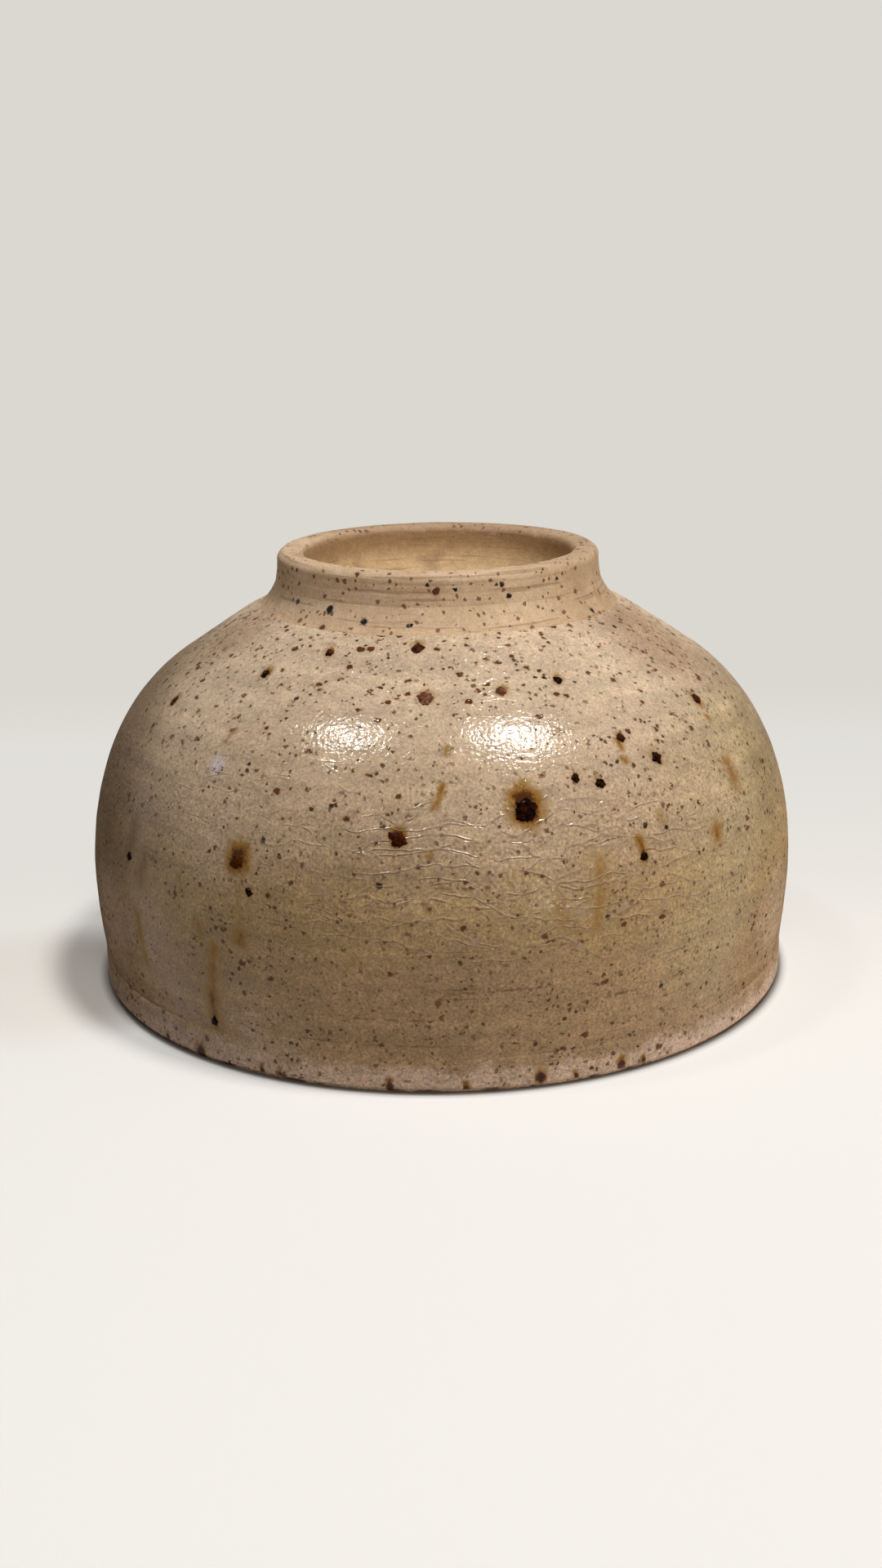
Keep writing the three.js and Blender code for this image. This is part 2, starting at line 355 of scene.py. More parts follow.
def bare_stoneware(name, spots):
    """Bare fired clay: tan, grainy and matt, with turning lines, iron specks and a rusty lip."""
    clay = Finish(name)
    place = clay.place()
    height = clay.axis(place, "Z")
    lines = clay.cloud(clay.stretch(place, around=16, up=0.5), size=1, detail=3, rough=0.6)
    patches = clay.cloud(place, size=7, detail=3, rough=0.6)
    mottle = clay.cloud(place, size=1.6, detail=3, rough=0.6)
    grain = clay.cloud(place, size=0.4, detail=3, rough=0.7)
    colour = clay.mix(clay.rise(patches, low=0.35, high=0.68), CLAY_TAN, CLAY_PALE)
    blotches = clay.rise(patches, low=0.30, high=0.60, top=0.40)
    colour = clay.mix(clay.times(clay.rise(height, *ROOT_STAIN), blotches), colour, CLAY_ORANGE)

    in_recess = clay.rise(clay.radius(place), *RECESS_SIDE)
    dark_patches = clay.rise(clay.cloud(place, size=6, detail=2), low=0.55, high=0.72, top=0.55)
    # Painted shade: the recess darkens towards its top, under the lip of the foot.
    recess = clay.mix(clay.rise(height, *RECESS_SHADE), RECESS_GOLD, RECESS_SHADE_BROWN)
    recess = clay.mix(dark_patches, recess, CLAY_BROWN)
    colour = clay.mix(clay.times(in_recess, RECESS_SHARE), colour, recess)
    # Painted shade on the back of the foot's lip.
    far_side = clay.rise(clay.axis(place, "Y"), *FAR_SIDE_SHADE)
    far_lip_shade = clay.times(far_side, clay.rise(height, *FAR_LIP_SHADE_TOP, top=0.50))
    colour = clay.mix(far_lip_shade, colour, CLAY_BROWN)
    # Painted shade on all bare clay on the right side.
    colour = clay.mix(clay.rise(clay.axis(place, "X"), *RIGHT_SIDE_SHADE, top=0.34), colour, CLAY_BROWN)
    colour = clay.shade(colour, mottle, thin=0.90, thick=1.10)
    colour = clay.shade(colour, grain, thin=0.86, thick=1.12)
    colour = clay.mix(clay.rise(lines, low=0.57, high=0.68, top=0.52), colour, CLAY_BROWN)

    ragged = clay.jitter(place, size=0.7, amount=0.8)
    small, _ = clay.specks(ragged, spacing=1.05, widest=0.52, share=0.62)
    large, large_halo = clay.specks(ragged, spacing=3.0, widest=0.90, share=0.22)
    outside = clay.plus(clay.times(in_recess, -RECESS_SHARE), 1.0)
    colour = clay.mix(clay.times(small, outside, 0.80), colour, SPECK_BROWN)
    colour = clay.mix(clay.times(large_halo, outside, 0.25), colour, CLAY_BROWN)
    colour = clay.mix(clay.times(large, outside), colour, SPECK_BROWN)
    marks = clay.spots(ragged, spots)
    colour = clay.mix(marks, colour, IRON_BLACK)
    rusty = clay.rise(clay.plus(height, clay.times(mottle, RUST_WANDER)), *RUSTY_LIP)
    colour = clay.mix(rusty, colour, RUST)
    bumps = [(lines, 0.05), (mottle, 0.05), (grain, 0.035), (large, -0.08)]
    return clay.done({
        "Base Color": colour,
        "Roughness": clay.plus(clay.times(marks, SPOT_ROUGH - CLAY_ROUGH), CLAY_ROUGH),
        "Specular IOR Level": CLAY_SHEEN,
        "Normal": clay.relief(bumps),
    })


wall.data.materials.append(bare_stoneware("bare_stoneware", spots=[]))

# Luting slip
# Liquid clay that joins the foot ring to the bed. It was smoothed with a finger into a hollow on both
# sides of the ring, and fired into one with them.
SLIP = 0.4
SLIP_SPREAD = 3.0
SLIP_FOOT = (31.0, 62.45)
SLIP_HOLLOW = (28.6, 64.0)
SLIP_TOP = (27.3, 67.2)
SLIP_UNDER = 1
SLIP_POINTS_UP = 6
FOOT_BASE = 28.4
FOOT_TOP = 26.95
FOOT_HEIGHT = 8.15
FOOT_LIP = 4.5
FOOT_LIP_ROUND = 1.5
FOOT_BASE_WIDTH = 8.6
FOOT_LEAN = 0.35
RECESS_LEAN = 0.3
RECESS_UNDERCUT = 0.3
FOOT_SIDES = 300
# Iron spots on the foot and the slip: turn from the front in degrees, height and width.
FOOT_SPOTS = [
    (-54.5, 66.2, 1.0), (-38.0, 66.0, 1.3), (-24.0, 64.8, 1.3), (24.0, 68.3, 1.0), (21.5, 70.2, 0.9),
    (19.5, 70.3, 0.6), (5.5, 69.9, 0.7), (-3.5, 70.6, 0.7), (44.0, 70.0, 0.6), (58.0, 64.0, 1.0),
    (-8.5, 64.6, 0.6), (-9.5, 64.6, 0.6), (120.0, 67.5, 1.1), (-150.0, 66.0, 1.2), (170.0, 69.5, 0.8),
]
ring_base = BED_HEIGHT + SLIP
ring_lip = ring_base + FOOT_HEIGHT - FOOT_LIP_ROUND
ring_inner_base = FOOT_BASE - FOOT_BASE_WIDTH
ring_inner_top = FOOT_TOP - FOOT_LIP
outer_pull = (FOOT_TOP, ring_base + FOOT_HEIGHT * FOOT_LEAN)
inner_pull = (ring_inner_top - RECESS_UNDERCUT, ring_base + FOOT_HEIGHT * RECESS_LEAN)
ring_outside = [(FOOT_BASE, ring_base)]
ring_outside += bow((FOOT_BASE, ring_base), outer_pull, (FOOT_TOP, ring_lip), steps=34)
ring_inside = [(ring_inner_top, ring_lip)]
ring_inside += bow((ring_inner_top, ring_lip), inner_pull, (ring_inner_base, ring_base), steps=20)
slip_inner_top = ring_inside[-SLIP_POINTS_UP]
slip_inner_end = (ring_inner_base - SLIP_SPREAD, BED_HEIGHT)
slip_face = [SLIP_FOOT] + bow(SLIP_FOOT, SLIP_HOLLOW, SLIP_TOP, steps=16)
slip_outline = slip_face + [
    (SLIP_TOP[0] - SLIP_UNDER, SLIP_TOP[1] - SLIP_UNDER),
    (slip_inner_top[0] + SLIP_UNDER, slip_inner_top[1] - SLIP_UNDER),
    slip_inner_top,
]
slip_outline += bow(slip_inner_top, (ring_inner_base, BED_HEIGHT), slip_inner_end, steps=12)
slip_outline += [(slip_inner_end[0], BED_HEIGHT - SLIP), (SLIP_FOOT[0], SLIP_FOOT[1] - SLIP)]
slip = spin_on_wheel("luting_slip_fillet", slip_outline, FOOT_SIDES)


def on_outline(outline, turn, height):
    """The place on a spun outline at a turn from the front, in degrees, and a height."""
    for (low_radius, low), (high_radius, high) in zip(outline, outline[1:]):
        if height <= high:
            break
    radius = low_radius + (high_radius - low_radius) * (height - low) / (high - low)
    angle = math.radians(turn)
    return Vector((radius * math.sin(angle), -radius * math.cos(angle), height))


foot_face = slip_face + [point for point in ring_outside if point[1] > SLIP_TOP[1]]
foot_spots = [(on_outline(foot_face, turn, height), width) for turn, height, width in FOOT_SPOTS]
slip.data.materials.append(bare_stoneware("luting_slip", foot_spots))
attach(slip, "root")
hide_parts("luting_slip")

# Foot ring
# A ring of the same clay, turned while leather hard and left bare, so that the bowl can stand on it in
# use. The tool left lines round it, and the inner edge of its lip is a little chipped.
TURNED_LINES = (67.1, 69.2, 70.6)
LINE_WIDTH = 0.25
LINE_DEPTH = 0.06
LINE_EVEN = 0.65
LINE_UNEVEN = 0.5
# A pitch is how close together the humps of an unevenness lie, per millimetre.
LINE_PITCH = 0.06
WOBBLE_DEPTH = 0.08
WOBBLE_PITCH = 0.11
CHIP_DEPTH = 0.35
CHIP_PITCH = 0.55
CHIP_LEAST = 0.1


def turned(place):
    """Tool lines round the outside of the foot, a slight wobble, and chips on the inside of its lip."""
    radius = math.hypot(place.x, place.y)
    wobble = WOBBLE_DEPTH * noise.noise(place * WOBBLE_PITCH)
    if radius < ring_inner_top + FOOT_LIP_ROUND:
        if place.z < ring_lip:
            return wobble
        chip = max(0.0, noise.noise(place * CHIP_PITCH) - CHIP_LEAST)
        return wobble - CHIP_DEPTH * chip
    fade = LINE_EVEN + LINE_UNEVEN * noise.noise(Vector((place.x, place.y, 0)) * LINE_PITCH)
    lines = sum(math.exp(-(((place.z - line) / LINE_WIDTH) ** 2)) for line in TURNED_LINES)
    return wobble - LINE_DEPTH * fade * lines


outer_round = (FOOT_TOP - FOOT_LIP_ROUND, ring_lip)
inner_round = (ring_inner_top + FOOT_LIP_ROUND, ring_lip)
foot_outline = ring_outside + quarter(outer_round, FOOT_LIP_ROUND, start_turn=0, steps=8)
foot_outline += [(inner_round[0], ring_lip + FOOT_LIP_ROUND)]
foot_outline += quarter(inner_round, FOOT_LIP_ROUND, start_turn=90, steps=8)
foot_outline += ring_inside[1:]
foot = spin_on_wheel("turned_foot_ring", foot_outline, FOOT_SIDES)
press(foot, turned)
foot.data.materials.append(bare_stoneware("foot_stoneware", foot_spots))
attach(foot, "root")
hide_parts("foot_ring")

# Inside glaze
# A thin coat of wood-ash glaze, poured in, swilled round and poured out again, with the iron of the clay
# bleeding through it. It thins out to nothing at the lip.
GLAZE = 0.5
GLAZE_ROOT = 0.05
GLAZE_BACK = GLAZE_ROOT + 0.1
GLAZE_TAPER = 5.0
BACK_EVERY = 6
GLAZE_TOP = (0.66, 0.512, 0.370)
GLAZE_MIDDLE = (0.515, 0.382, 0.257)
GLAZE_LOW = (0.398, 0.271, 0.155)
GLAZE_TAN = (0.420, 0.292, 0.138)
GLAZE_OLIVE = (0.455, 0.352, 0.190)
GLAZE_DARK_OLIVE = (0.24, 0.175, 0.080)
# The next tone is painted shade for the left side of the bowl.
PAINTED_SIDE_SHADE = (0.22, 0.150, 0.086)
GLAZE_MILKY = (0.62, 0.470, 0.350)
# The next tone is a painted lilac reflection on the left of the shoulder.
PAINTED_LILAC_REFLECTION = (0.66, 0.600, 0.680)
LIP_MAUVE = (0.64, 0.488, 0.395)
LIP_RUST = (0.040, 0.003, 0.001)
STAIN_TAN = (0.35, 0.220, 0.088)
AMBER = (0.295, 0.132, 0.009)
# The next two darken the stains within the painted side zones.
SHADED_STAIN_TAN = (0.110, 0.066, 0.025)
SHADED_STAIN_AMBER = (0.075, 0.036, 0.008)
BURNT = (0.080, 0.022, 0.003)
SPECK_DULL = (0.085, 0.040, 0.016)
SPECK_RUST = (0.130, 0.043, 0.012)
GLAZE_ROUGH = 0.14
GLAZE_SHEEN = 0.20
# Each pair runs from the height where a tone or a pattern begins to the height where it is full.
LOW_TO_MIDDLE = (19, 42)
MIDDLE_TO_TOP = (40, 60)
TAN_FROM_BELOW = (17, 25)
TAN_FROM_ABOVE = (38, 29)
MAUVE_BAND = (8.6, 5.6)
SMOOTH_GRAIN = (34, 54)
WHEEL_LINES = (46, 22)
SPECKS_BY_FOOT = (48, 64)
BURNT_LIP = (1.35, 0.85)
CRACKLE_FROM_BELOW = (17, 26)
CRACKLE_FROM_ABOVE = (47, 39)
# How far the edges of the tones wander up and down.
TONE_WANDER = 15
BAND_WANDER = 7.0
BURNT_WANDER = 0.9
# Zones of another tone: turn from the front in degrees, height and reach.
PALE_ZONES = [(-37, 39, 16), (10, 39.5, 14), (27, 48.7, 15), (-56, 14, 20), (-30, 5, 14)]
OLIVE_ZONES = [(56, 36, 26), (42, 19, 18), (66, 44, 18)]
# Zones of painted shade and light at the sides: turn, height and reach, then share and colour.
SIDE_ZONES = [
    # Painted shade down the left side.
    (-90, 45, 32, 0.85, PAINTED_SIDE_SHADE),
    (-70, 32, 28, 0.75, PAINTED_SIDE_SHADE),
    # Brown on both shoulders by the foot: partly the glaze's own tone, partly painted shade.
    (-69, 60.5, 11, 0.45, CLAY_BROWN),
    (69, 59.5, 17, 0.58, CLAY_BROWN),
    # Dark olive on the right: partly the glaze's own tone, partly painted shade.
    (82, 45, 21, 0.50, GLAZE_DARK_OLIVE),
    (65, 37, 9, 0.50, GLAZE_DARK_OLIVE),
    # Pale low on both sides: painted light.
    (-65, 17, 11, 0.70, GLAZE_MILKY),
    (65, 15, 11, 0.55, GLAZE_MILKY),
]
SIDE_CORE = 0.3
# Place and reach of the painted lilac reflection.
LILAC_REFLECTION_PLACE = (-40, 46)
LILAC_REFLECTION_REACH = 2.6
CRACKLE_PLACE = (14, 33)
CRACKLE_REACH = 48
CRACKLE_CORE = 14
CRACK_LENGTH = 8.5
CRACK_SPACING = 2.1
CRACK_WIDTH = 0.16
CRACK_SHADE_DROP = 1.3
# Single lines scored by the wheel: turn, height and reach.
SCORED_LINES = [
    (-9, 30.0, 9), (-9, 12.0, 13), (8, 16.5, 9), (26, 13.4, 5),
    (4, 32.2, 7), (-30, 25.4, 8), (17, 23.0, 7),
]
SCORE_WIDTH = 0.30
SCORE_CORE = 0.3
SCORE_STEADY = 0.7
SCORE_WAVER = 0.9
# Single iron spots and the rusty marks of the lip: turn, height and width.
IRON_SPOTS = [
    (-27.5, 37.3, 0.9), (-63.5, 47.8, 1.0), (-30.5, 55.3, 0.8), (-33.5, 47.0, 0.7), (-17.0, 43.0, 0.8),
    (-9.0, 32.6, 1.0), (-57.0, 29.0, 1.0), (24.0, 26.0, 0.8), (36.0, 37.0, 0.8), (33.5, 13.0, 0.8),
    (55.0, 62.6, 0.9), (58.5, 61.7, 0.9), (22.0, 58.0, 0.6), (24.0, 57.8, 0.8), (26.5, 57.6, 0.7),
]
LIP_SPOTS = [
    (-48.0, 1.1, 1.1), (-40.0, 1.0, 2.2), (-28.0, 1.1, 0.9), (-25.0, 1.0, 0.8), (-8.0, 0.9, 1.4),
    (3.0, 0.9, 0.9), (14.0, 1.6, 1.8), (19.5, 1.1, 0.9), (27.0, 1.4, 1.5), (31.0, 1.1, 0.9),
]


def moved(outline, depths):
    """The outline moved to its right, by one depth in millimetres for each point."""
    points = []
    for index, (radius, height) in enumerate(outline):
        before = outline[max(index - 1, 0)]
        after = outline[min(index + 1, len(outline) - 1)]
        length = math.dist(before, after)
        right = ((after[1] - before[1]) / length, (before[0] - after[0]) / length)
        points.append((max(radius + right[0] * depths[index], 0.0), height + right[1] * depths[index]))
    return points


def thinning(outline, full, end, taper):
    """A thickness for each point: full, and thinning to another over a length before the last point."""
    depths = [end]
    run = 0.0
    for start, stop in zip(outline[::-1], outline[-2::-1]):
        run += math.dist(start, stop)
        share = min(run / taper, 1.0)
        depths.append(end + (full - end) * share * share * (3 - 2 * share))
    return depths[::-1]


def back_of(outline, depth, every):
    """The hidden back of a coat, at a depth in the clay: one in so many points, from end to start."""
    return moved(outline, [depth] * len(outline))[::-every]


glaze_face = moved(wall_belly, [GLAZE] * len(wall_belly))
lip_line = [(RIM + GLAZE, 0), (RIM + GLAZE, LIP_BAND)]


def on_bowl(turn, height):
    """The place on the face of the outside glaze at a turn from the front, in degrees, and a height."""
    return on_outline(glaze_face, turn, height)


class AshGlaze(Finish):
    """Wood-ash glaze: a beige skin over clay whose iron bleeds through as specks, stains and runs."""

    def __init__(self, name):
        super().__init__(name)
        self.at = self.place()
        self.height = self.axis(self.at, "Z")
        self.drift = self.cloud(self.at, size=14, detail=4, rough=0.55)
        self.level = self.plus(self.height, self.times(self.plus(self.drift, -0.5), TONE_WANDER))
        self.wisps = self.cloud(self.at, size=5, detail=4, rough=0.6)
        self.mottle = self.cloud(self.at, size=1.5, detail=4, rough=0.65)
        self.grain = self.cloud(self.at, size=0.42, detail=3, rough=0.65)
        self.wheel = self.cloud(self.stretch(self.at, around=26, up=0.5), size=1, detail=3, rough=0.55)
        self.ragged = self.jitter(self.at, size=0.5, amount=0.8)
        self.painted_sides = 0.0

    def zoned(self, colour, zones, share, tone):
        """The colour with a share of a tone mixed in over each of some zones."""
        for turn, rise, reach in zones:
            zone = self.near(self.at, on_bowl(turn, rise), reach)
            colour = self.mix(self.times(zone, share), colour, tone)
        return colour

    def tones(self):
        """Pale by the foot and darker below, with milky and olive zones, painted shade and light and a
        mauve lip.
        """
        colour = self.mix(self.rise(self.level, *LOW_TO_MIDDLE), GLAZE_LOW, GLAZE_MIDDLE)
        colour = self.mix(self.rise(self.level, *MIDDLE_TO_TOP), colour, GLAZE_TOP)
        tan_below = self.rise(self.level, *TAN_FROM_BELOW)
        tan_band = self.times(tan_below, self.rise(self.level, *TAN_FROM_ABOVE, top=0.70))
        colour = self.mix(tan_band, colour, GLAZE_TAN)
        milky = self.rise(self.wisps, low=0.35, high=0.65, top=0.75)
        colour = self.zoned(colour, PALE_ZONES, milky, GLAZE_MILKY)
        olive = self.rise(self.wisps, low=0.20, high=0.58, top=0.85)
        colour = self.zoned(colour, OLIVE_ZONES, olive, GLAZE_OLIVE)
        # Painted shade and light at the sides. Their shares are kept, to darken the stains there.
        for turn, rise, reach, share, shade in SIDE_ZONES:
            zone = self.times(self.near(self.at, on_bowl(turn, rise), reach, core=reach * SIDE_CORE), share)
            colour = self.mix(zone, colour, shade)
            self.painted_sides = self.most(self.painted_sides, zone)
        # A painted lilac reflection on the left of the shoulder.
        torn = self.jitter(self.at, size=1.2, amount=1.5)
        lilac_reflection = self.near(torn, on_bowl(*LILAC_REFLECTION_PLACE), LILAC_REFLECTION_REACH)
        colour = self.mix(self.times(lilac_reflection, 0.8), colour, PAINTED_LILAC_REFLECTION)
        band_edge = self.plus(self.height, self.times(self.wisps, BAND_WANDER))
        return self.mix(self.rise(band_edge, *MAUVE_BAND, top=0.85), colour, LIP_MAUVE)

    def grained(self, colour):
        """The unevenness of the coat, from wide wisps to a grain that is coarser towards the lip."""
        colour = self.shade(colour, self.wisps, thin=1.10, thick=0.90)
        colour = self.shade(colour, self.mottle, thin=1.14, thick=0.86)
        bands = self.cloud(self.stretch(self.at, around=24, up=2.2), size=1, detail=3, rough=0.55)
        colour = self.shade(colour, bands, thin=1.13, thick=0.87)
        coarse = self.shade(colour, self.grain, thin=1.40, thick=0.57)
        smooth = self.shade(colour, self.grain, thin=1.26, thick=0.73)
        return self.mix(self.rise(self.level, *SMOOTH_GRAIN), coarse, smooth)

    def scored(self, colour):
        """Brown lines of the wheel: faint ones in wisps over the lower wall, and a few single ones."""
        faint = self.rise(self.wheel, low=0.60, high=0.70, top=0.45)
        in_wisps = self.rise(self.wisps, low=0.4, high=0.6)
        lines = self.times(faint, self.rise(self.height, *WHEEL_LINES), in_wisps)
        waver = self.plus(self.height, self.times(self.wisps, SCORE_WAVER))
        broken = self.rise(self.mottle, low=0.42, high=0.58, top=0.55)
        for turn, rise, reach in SCORED_LINES:
            away = self.math("ABSOLUTE", self.plus(waver, -rise - SCORE_WAVER / 2), 0.0)
            line = self.rise(away, SCORE_WIDTH, SCORE_WIDTH * SCORE_CORE)
            stretch = self.near(self.at, on_bowl(turn, rise), reach, core=reach * SCORE_STEADY)
            lines = self.most(lines, self.times(line, stretch, broken))
        return self.mix(lines, colour, SPECK_BROWN)

    def specked(self, colour):
        """Fine dull specks all over, rusty ones in crowds, and a few burnt and black ones with halos."""
        thick = self.rise(self.wisps, low=0.40, high=0.62)
        fine, _ = self.specks(self.ragged, spacing=0.85, widest=0.46, share=0.50)
        fine = self.times(fine, self.plus(self.times(thick, 0.45), 0.55))
        colour = self.mix(fine, colour, SPECK_DULL)
        crowd = self.cloud(self.at, size=4.5, detail=3, rough=0.6)
        crowd = self.plus(crowd, self.rise(self.level, *SPECKS_BY_FOOT, top=0.13))
        peppered = self.rise(crowd, low=0.525, high=0.595)
        flattened = self.stretch(self.ragged, around=1.2, up=0.85)
        rust, rust_halo = self.specks(flattened, spacing=1.25, widest=0.68, share=0.58)
        colour = self.mix(self.times(rust_halo, peppered, 0.20), colour, CLAY_BROWN)
        rust_tone = self.mix(self.rise(self.drift, low=0.46, high=0.56), SPECK_BROWN, SPECK_RUST)
        colour = self.mix(self.times(rust, peppered), colour, rust_tone)
        burnt, burnt_halo = self.specks(self.ragged, spacing=6.0, widest=0.75, share=0.40)
        colour = self.mix(self.times(burnt_halo, 0.55), colour, STAIN_TAN)
        colour = self.mix(self.times(burnt, 0.75), colour, BURNT)
        black, black_halo = self.specks(self.ragged, spacing=4.4, widest=0.62, share=0.42)
        colour = self.mix(self.times(black_halo, 0.30), colour, STAIN_TAN)
        return self.mix(self.times(black, 0.9), colour, IRON_BLACK), black

    def stained(self, colour, runs):
        """Iron that has bled and run: tan at the edge, amber further in and burnt in the middle."""
        strayed = self.jitter(self.jitter(self.at, size=2.5, amount=1.8), size=0.8, amount=0.6)
        iron = 0.0
        for start, end, width, strength in runs:
            iron = self.most(iron, self.run(strayed, start, end, width, strength))
        streaks = self.cloud(self.stretch(self.at, around=0.8, up=4), size=1, detail=3, rough=0.6)
        iron = self.times(iron, self.plus(self.mottle, streaks))
        iron = self.times(iron, self.plus(self.times(self.grain, 0.8), 0.6))
        # Within the painted side zones the stains go darker.
        edge_tone = self.mix(self.painted_sides, STAIN_TAN, SHADED_STAIN_TAN)
        inner_tone = self.mix(self.painted_sides, AMBER, SHADED_STAIN_AMBER)
        colour = self.mix(self.rise(iron, low=0.0, high=0.7, top=0.85), colour, edge_tone)
        colour = self.mix(self.rise(iron, low=0.35, high=1.05, top=0.9), colour, inner_tone)
        return self.mix(self.rise(iron, low=0.80, high=1.60), colour, BURNT)

    def spotted(self, colour):
        """Single iron spots, the rusty marks of the lip and its burnt edge."""
        iron_spots = [(on_bowl(turn, rise), width) for turn, rise, width in IRON_SPOTS]
        colour = self.mix(self.times(self.spots(self.ragged, iron_spots), 0.95), colour, IRON_BLACK)
        lip_spots = [(on_outline(lip_line, turn, rise), width) for turn, rise, width in LIP_SPOTS]
        lip_marks = self.spots(self.ragged, lip_spots, reach=0.6)
        colour = self.mix(self.times(lip_marks, 0.9), colour, LIP_RUST)
        wandering = self.plus(self.height, self.times(self.mottle, BURNT_WANDER))
        burnt_edge = self.rise(wandering, *BURNT_LIP, top=0.85)
        burnt_edge = self.times(burnt_edge, self.rise(self.wisps, low=0.48, high=0.60))
        return self.mix(burnt_edge, colour, BURNT)

    def crazed(self, colour):
        """Torn crackle in long, flat cells: a painted highlight along each crack, painted shade under it.
        """
        bent = self.jitter(self.jitter(self.at, size=14, amount=8), size=2.2, amount=1.0)
        zone = self.near(self.at, on_bowl(*CRACKLE_PLACE), CRACKLE_REACH, core=CRACKLE_CORE)
        zone = self.times(zone, self.rise(self.height, *CRACKLE_FROM_ABOVE))
        zone = self.times(zone, self.rise(self.height, *CRACKLE_FROM_BELOW))
        torn = self.cloud(self.stretch(bent, around=6, up=2), size=1, detail=2, rough=0.6)
        torn = self.rise(self.plus(torn, self.times(zone, 0.12)), low=0.52, high=0.61)
        torn = self.times(torn, self.plus(self.times(zone, 0.55), 0.45))
        cracks = self.times(self.cracks(bent, CRACK_LENGTH, CRACK_SPACING, CRACK_WIDTH), torn)
        lower = self.vector("ADD", bent, (0, 0, CRACK_WIDTH * CRACK_SHADE_DROP))
        under = self.times(self.cracks(lower, CRACK_LENGTH, CRACK_SPACING, CRACK_WIDTH), torn)
        # Painted shade under each crack, and a painted highlight along it.
        colour = self.mix(self.times(under, 0.32), colour, SPECK_BROWN)
        return self.mix(self.times(cracks, 0.36), colour, GLAZE_MILKY), cracks, under


def ash_glaze(name, runs):
    """The glaze of one coat and its iron runs. Its skin is peeled, pitted and cracked."""
    glaze = AshGlaze(name)
    colour = glaze.grained(glaze.tones())
    colour, pits = glaze.specked(glaze.scored(colour))
    colour = glaze.spotted(glaze.stained(colour, runs))
    colour, cracks, under = glaze.crazed(colour)
    peel = glaze.cloud(glaze.at, size=0.72, detail=2.5)
    swell = glaze.cloud(glaze.at, size=3.2, detail=2)
    bumps = [(glaze.wheel, 0.03), (swell, 0.09), (peel, 0.112), (glaze.grain, 0.006)]
    bumps += [(cracks, 0.07), (under, -0.05), (pits, -0.06)]
    sidelong = glaze.node("ShaderNodeLayerWeight", {"Blend": 0.5}).outputs["Facing"]
    dulled = glaze.plus(glaze.rise(sidelong, low=0.42, high=0.75, top=0.8), GLAZE_ROUGH)
    return glaze.done({
        "Base Color": colour,
        "Roughness": glaze.plus(glaze.rise(glaze.mottle, low=0.3, high=0.7, top=0.05), dulled),
        "Specular IOR Level": GLAZE_SHEEN,
        "Normal": glaze.relief(bumps),
    })


lining_depths = thinning(wall_inside, GLAZE, -GLAZE_ROOT, GLAZE_TAPER)
lining_face = moved(wall_inside, lining_depths)
lining_back = back_of(wall_inside, -GLAZE_BACK, BACK_EVERY)
lining = spin_on_wheel("poured_lining", lining_face + lining_back, WALL_SIDES)
press(lining, thrown)
lining.data.materials.append(ash_glaze("inside_glaze", runs=[]))
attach(lining, "root")
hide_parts("inner_glaze")

# Outside glaze
# The same glaze, dipped: one coat from the lip band to a wiped edge just short of the foot. Iron in the
# clay has stained it round the beads, and has run from some of them.
GLAZE_SIDES = 480
BAND_LAP = 0.4
LAP_SHARE = 0.6
DIMPLE_DEPTH = 0.02
DIMPLE_PITCH = 0.35
EDGE_WANDER = 0.07
EDGE_PITCH = 0.22
BEAD_COUNT = 24
SLOPE_STEP = 0.5
# Iron runs: turn and height of the start, turn and height of the end, width and strength.
IRON_RUNS = [
    (-1.0, 43.0, 0.5, 46.0, 1.4, 1.09),
    (30.9, 34.6, 30.4, 36.2, 2.5, 1.35),
    (35.8, 38.0, 35.3, 39.2, 2.8, 0.60),
    (55.0, 40.0, 55.0, 42.5, 4.2, 1.20),
    (46.4, 33.4, 46.4, 34.6, 3.6, 1.20),
    (22.3, 25.2, 23.5, 34.0, 4.6, 0.70),
    (23.2, 25.3, 23.2, 26.6, 2.2, 0.80),
    (16.9, 25.6, 16.9, 30.0, 4.2, 0.74),
    (-52.5, 25.7, -52.0, 30.0, 4.4, 0.95),
    (-57.0, 29.0, -56.0, 34.0, 4.6, 0.90),
    (-53.5, 20.6, -51.5, 12.6, 3.0, 0.90),
    (-30.6, 22.0, -30.6, 22.8, 3.4, 1.35),
    (-30.8, 25.0, -30.8, 30.0, 3.4, 0.45),
    (-37.5, 21.5, -38.0, 23.0, 3.2, 0.85),
    (-36.4, 6.5, -36.4, 12.5, 3.8, 1.25),
    (-36.2, 12.5, -35.4, 19.6, 3.6, 1.00),
    (-10.5, 16.0, -10.5, 16.6, 1.8, 0.63),
    (-13.0, 20.4, -13.0, 21.0, 1.8, 0.63),
    (-2.0, 36.8, -1.5, 37.4, 1.8, 0.80),
    (-40.5, 49.0, -40.0, 50.5, 1.8, 0.75),
    (1.0, 50.0, 1.0, 50.6, 1.8, 0.80),
    (-43.0, 28.8, -43.0, 29.4, 1.7, 0.75),
    (57.0, 48.8, 57.0, 49.2, 2.1, 0.86),
    (58.0, 51.0, 58.5, 51.6, 2.2, 1.30),
    (21.0, 51.5, 21.2, 52.2, 2.6, 0.55),
    (32.4, 48.8, 32.4, 49.6, 1.6, 1.20),
    (32.0, 47.0, 32.0, 47.4, 1.6, 1.10),
    (98.0, 24.0, 98.5, 28.5, 3.2, 0.95),
    (124.0, 33.0, 124.0, 37.0, 3.0, 1.10),
    (151.0, 18.0, 150.5, 25.0, 3.4, 0.95),
    (-122.0, 38.0, -121.5, 42.5, 3.0, 1.05),
    (-163.0, 27.0, -163.0, 33.5, 3.6, 0.90),
    (-98.0, 14.0, -98.5, 20.0, 3.0, 1.00),
]
